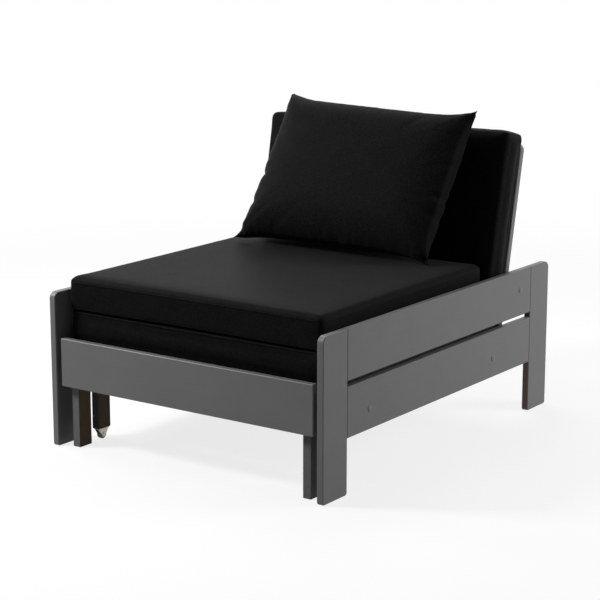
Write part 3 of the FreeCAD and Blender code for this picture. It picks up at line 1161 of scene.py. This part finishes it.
@dataclass
class Woodwork:
    """The boards, beams, legs and slats: CAD nodes that keep their shape and get their finish.

    The legs nearer the middle than a set distance across, and the rear posts in front of a set
    place along, get brown painted on as warm bounce light in their shade.
    """

    nodes: Mapping[str, Piece]
    across: tuple[str, ...] = ("front_rail", "front_cross_beam", "rear_cross_beam", "middle_beam",
                               "front_cleat", "back_rail", "back_foot_batten", "back_board_1",
                               "back_board_2", "back_board_3", "back_board_4")
    along: tuple[str, ...] = pairs("lower_side_board", "upper_side_board")
    upright: tuple[str, ...] = pairs("front_post", "rear_post", "front_leg", "caster_leg",
                                     "back_stile")
    slats: tuple[str, ...] = ("front_slats", "fixed_slats", "middle_slats")
    board_shift: float = 1.7
    leg_gloss: float = 0.10
    # Painted warm bounce light: where brown goes on shaded leg and rear post faces, and its colour.
    leg_bounce_within: float = 0.4025
    rear_post_bounce_within: float = 0.5105
    rear_post_bounce_brown: Colour = (0.240, 0.170, 0.100)

    def finish(self, name: str, grain: Grain, shift: float) -> Lacquer:
        """The lacquer of one board.

        Args:
            name: the board's node.
            grain: the way its grain runs.
            shift: how far its pattern is slid.

        Returns:
            The finish.
        """
        lacquer = Lacquer("lacquer_" + name, grain, shift)
        # Painted warm bounce light on the legs' inner sides and the rear posts' front faces.
        if "leg" in name:
            return replace(lacquer, gloss=self.leg_gloss, bounce_within=self.leg_bounce_within)
        if "rear_post" in name:
            return replace(lacquer, bounce_within=self.rear_post_bounce_within, bounce_axis=Axis.ALONG,
                           shade_brown=self.rear_post_bounce_brown)
        return lacquer

    def dress(self) -> list[Piece]:
        """Gives each board its own cut of lacquer, the slats their wood darkened as painted shade,
        and returns them.
        """
        groups = {Grain.ACROSS: self.across, Grain.ALONG: self.along, Grain.UPRIGHT: self.upright}
        boards = [(name, grain) for grain, names in groups.items() for name in names]
        dressed = []
        for number, (name, grain) in enumerate(boards, 1):
            lacquer = self.finish(name, grain, self.board_shift * number)
            dressed.append(paint(self.nodes[name], lacquer.make()))
        shade_brown = ShadeDarkenedSoftwood().make()
        return dressed + [paint(self.nodes[name], shade_brown) for name in self.slats]


@dataclass
class Fittings:
    """The casters and the bolt caps.

    A wheel's face lies back by dish between the radii hub and rim.
    """

    nodes: Mapping[str, Piece]
    hub: float = 0.0062
    hub_chamfer: float = 0.0008
    dish: float = 0.0016
    rim: float = 0.0115
    rim_chamfer: float = 0.0006
    bevel: float = 0.0018
    bevel_points: int = 5
    steps: int = 72

    def wheel(self, side: str, nylon: Material) -> Piece:
        """A moulded wheel in place of the plain one: raised hub, dished face, rounded tread.

        Args:
            side: left or right.
            nylon: the wheel's material.

        Returns:
            The piece.
        """
        node = "caster_wheel_" + side
        low, high = (np.array(corner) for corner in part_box(node))
        middle, half, radius = (low + high) / 2, (high[0] - low[0]) / 2, (high[2] - low[2]) / 2
        deep = -half + self.dish
        face = [(0.0, -half), (self.hub - self.hub_chamfer, -half),
                (self.hub, -half + self.hub_chamfer), (self.hub, deep),
                (self.rim - self.rim_chamfer, deep), (self.rim, deep - self.rim_chamfer),
                (self.rim, -half)]
        shoulder = [(radius - self.bevel * (1 - math.sin(angle)),
                     -half + self.bevel * (1 - math.cos(angle)))
                    for angle in np.linspace(0.0, math.pi / 2, self.bevel_points)]
        one_side = face + shoulder
        profile = one_side + [(reach, -place) for reach, place in reversed(one_side)]
        points, faces = revolve(profile, self.steps)
        piece = paint(new_piece(node + "_moulded", points + middle, faces), nylon)
        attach(piece, side + "_wheel")
        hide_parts(node)
        return piece

    def dress(self) -> list[Piece]:
        """Dresses the brackets, axles and caps, makes the wheels, and returns them all."""
        zinc = ZincSteel().make()
        cap = Moulding("cap_plastic", (0.165, 0.165, 0.168), 0.34).make()
        nylon = Moulding("wheel_nylon", (0.42, 0.40, 0.36), 0.42).make()
        dressed = []
        for side in SIDES:
            for kind, material in (("caster_bracket_", zinc), ("caster_axle_", zinc),
                                   ("bolt_caps_", cap)):
                dressed.append(paint(self.nodes[kind + side], material))
            dressed.append(self.wheel(side, nylon))
        return dressed


@dataclass(frozen=True)
class Lamp:
    """A soft rectangular lamp: where it stands, the point it faces, its sides and its watts."""

    name: str
    spot: Point
    aim: Point
    size: tuple[float, float]
    power: float

    def hang(self) -> None:
        """Puts the lamp in the scene, unseen by the camera."""
        data = bpy.data.lights.new(self.name, "AREA")
        data.shape = "RECTANGLE"
        data.size, data.size_y = self.size
        data.energy = self.power
        light = bpy.data.objects.new(self.name, data)
        way = np.array(self.aim) - np.array(self.spot)
        tip = math.atan2(math.hypot(way[0], way[1]), -way[2])
        light.location = self.spot
        light.rotation_euler = Euler((tip, 0.0, math.atan2(-way[0], way[1])))
        light.visible_camera = False
        bpy.context.collection.objects.link(light)


@dataclass
class Studio:
    """The floor, the world, the lamps and the camera.

    Focal length and sensor are in millimetres, for a square frame, and yaw and pitch in degrees.
    The camera sees the floor as pale and grit, with a share of plain white that grows from glow to
    one over the distances in fade; other rays see it as bounce.
    """

    focal: float = 111.76
    sensor: float = 36.0
    yaw: float = 35.30
    pitch: float = 12.58
    spot: Point = (3.17105, -4.52479, 1.62152)
    far: float = 100.0
    floor_reach: float = 15.0
    floor_level: float = -0.0004
    floor_points: int = 9
    pale: Colour = (1.30, 1.30, 1.30)
    grit: Colour = (1.25, 1.25, 1.25)
    bounce: Colour = (0.28, 0.28, 0.28)
    glow: float = 0.80
    fade: tuple[float, float] = (1.2, 4.0)
    ambient: float = 0.06
    lamps: tuple[Lamp, ...] = (
        Lamp("overhead", (-0.9, 1.35, 3.1), (0.0, 0.0, 0.4), (1.6, 1.6), 34.0),
        Lamp("front_left", (-2.3, -2.05, 2.7), (0.0, 0.0, 0.5), (0.7, 0.7), 93.0),
        Lamp("left", (-2.4, -0.35, 2.0), (-0.1, 0.2, 0.6), (0.8, 0.8), 18.0),
        Lamp("right", (2.9, 1.8, 1.4), (0.4, 0.1, 0.35), (1.6, 1.4), 49.0),
    )

    def camera(self) -> None:
        """A camera at the photograph's place."""
        data = bpy.data.cameras.new("camera")
        data.lens = self.focal
        data.sensor_width = self.sensor
        data.clip_end = self.far
        camera = bpy.data.objects.new("camera", data)
        camera.location = self.spot
        camera.rotation_euler = Euler((math.radians(90.0 - self.pitch), 0.0,
                                       math.radians(self.yaw)))
        bpy.context.collection.objects.link(camera)
        bpy.context.scene.camera = camera

    def floor(self) -> None:
        """A pale floor: white to the camera but for the object's shadow, and dull to other rays."""
        line = np.linspace(-self.floor_reach, self.floor_reach, self.floor_points)
        grid = np.stack(np.meshgrid(line, line, [self.floor_level]), axis=-1)
        piece = new_piece("floor", grid, grid_faces(self.floor_points, self.floor_points, False))
        recipe = Recipe("floor")
        seen = recipe.seen()
        pale = recipe.mix(recipe.noise(recipe.place(), 60.0) * 0.1, self.pale, self.grit)
        matt = recipe.add("ShaderNodeBsdfDiffuse", None, {"Color": pale})
        white = recipe.add("ShaderNodeEmission", None, {"Color": WHITE, "Strength": 1.0})
        reach = recipe.add("ShaderNodeVectorMath", {"operation": "LENGTH"}, {0: recipe.place()},
                           "Value")
        share = self.glow + reach.rise(*self.fade) * (1.0 - self.glow)
        shown = recipe.add("ShaderNodeMixShader", None, {0: share, 1: matt, 2: white})
        dull = recipe.add("ShaderNodeBsdfDiffuse", None, {"Color": self.bounce})
        closing = recipe.add("ShaderNodeMixShader", None, {0: seen > 0.5, 1: dull, 2: shown})
        paint(piece, recipe.close(closing))

    def world(self) -> None:
        """White to the camera and in gloss, and a dim grey as the light of the surroundings."""
        recipe = Recipe("studio", world=True)
        strength = recipe.add("ShaderNodeMix", None, {0: recipe.seen(), 2: self.ambient, 3: 1.0})
        light = recipe.add("ShaderNodeBackground", None, {"Color": WHITE, "Strength": strength})
        bpy.context.scene.world = recipe.close(light)

    def build(self) -> None:
        """Sets up everything that isn't the object."""
        self.camera()
        self.floor()
        self.world()
        for lamp in self.lamps:
            lamp.hang()
        bpy.context.scene.view_settings.view_transform = "Standard"


def mattress() -> tuple[FoamSection, ...]:
    """The three foam sections: lower and upper part of the seat, and the back."""
    return (
        FoamSection("seat_section_lower", "lower_seat", 0.900, 0.575, crown=0.0, edge=0.004,
                    seam_radius=0.0038, lap_seam=True, voxel=0.008),
        FoamSection("seat_section_upper", "upper_seat", 0.900, 0.850, foot_edge=0.003,
                    seam_radius=0.0020),
        FoamSection("back_section", "back_cushion", 0.898, 0.590, lean=PANEL_LEAN, aside=0.006,
                    edge=0.011, foot_edge=0.002, corner=0.020, seam_radius=0.0006, voxel=0.008),
    )


def report(pieces: Iterable[Piece]) -> None:
    """Logs each piece with its finish and its number of faces."""
    for piece in pieces:
        LOG.info("%s: %s, %d faces", piece.name, piece.data.materials[0].name,
                 len(piece.data.polygons))


def main() -> None:
    """Loads the frame, builds, dresses and reports every piece."""
    logging.basicConfig(level=logging.INFO, format="%(message)s")
    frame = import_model()
    Studio().build()
    report(Woodwork(frame["nodes"]).dress())
    report(Fittings(frame["nodes"]).dress())
    mattress_cloth = WovenCover("mattress_cloth").make()
    pillow_cloth = WovenCover("pillow_cloth").make()
    foam = Padding(pressure=4.0, cap=0.003)
    stuffing = Padding(pressure=4.0, cap=0.14, frames=26, steps=5, sideways=0.15)
    for section in mattress():
        report(section.build(mattress_cloth, foam))
    report([Pillow().build(pillow_cloth, stuffing)])


if __name__ == "__main__":
    main()
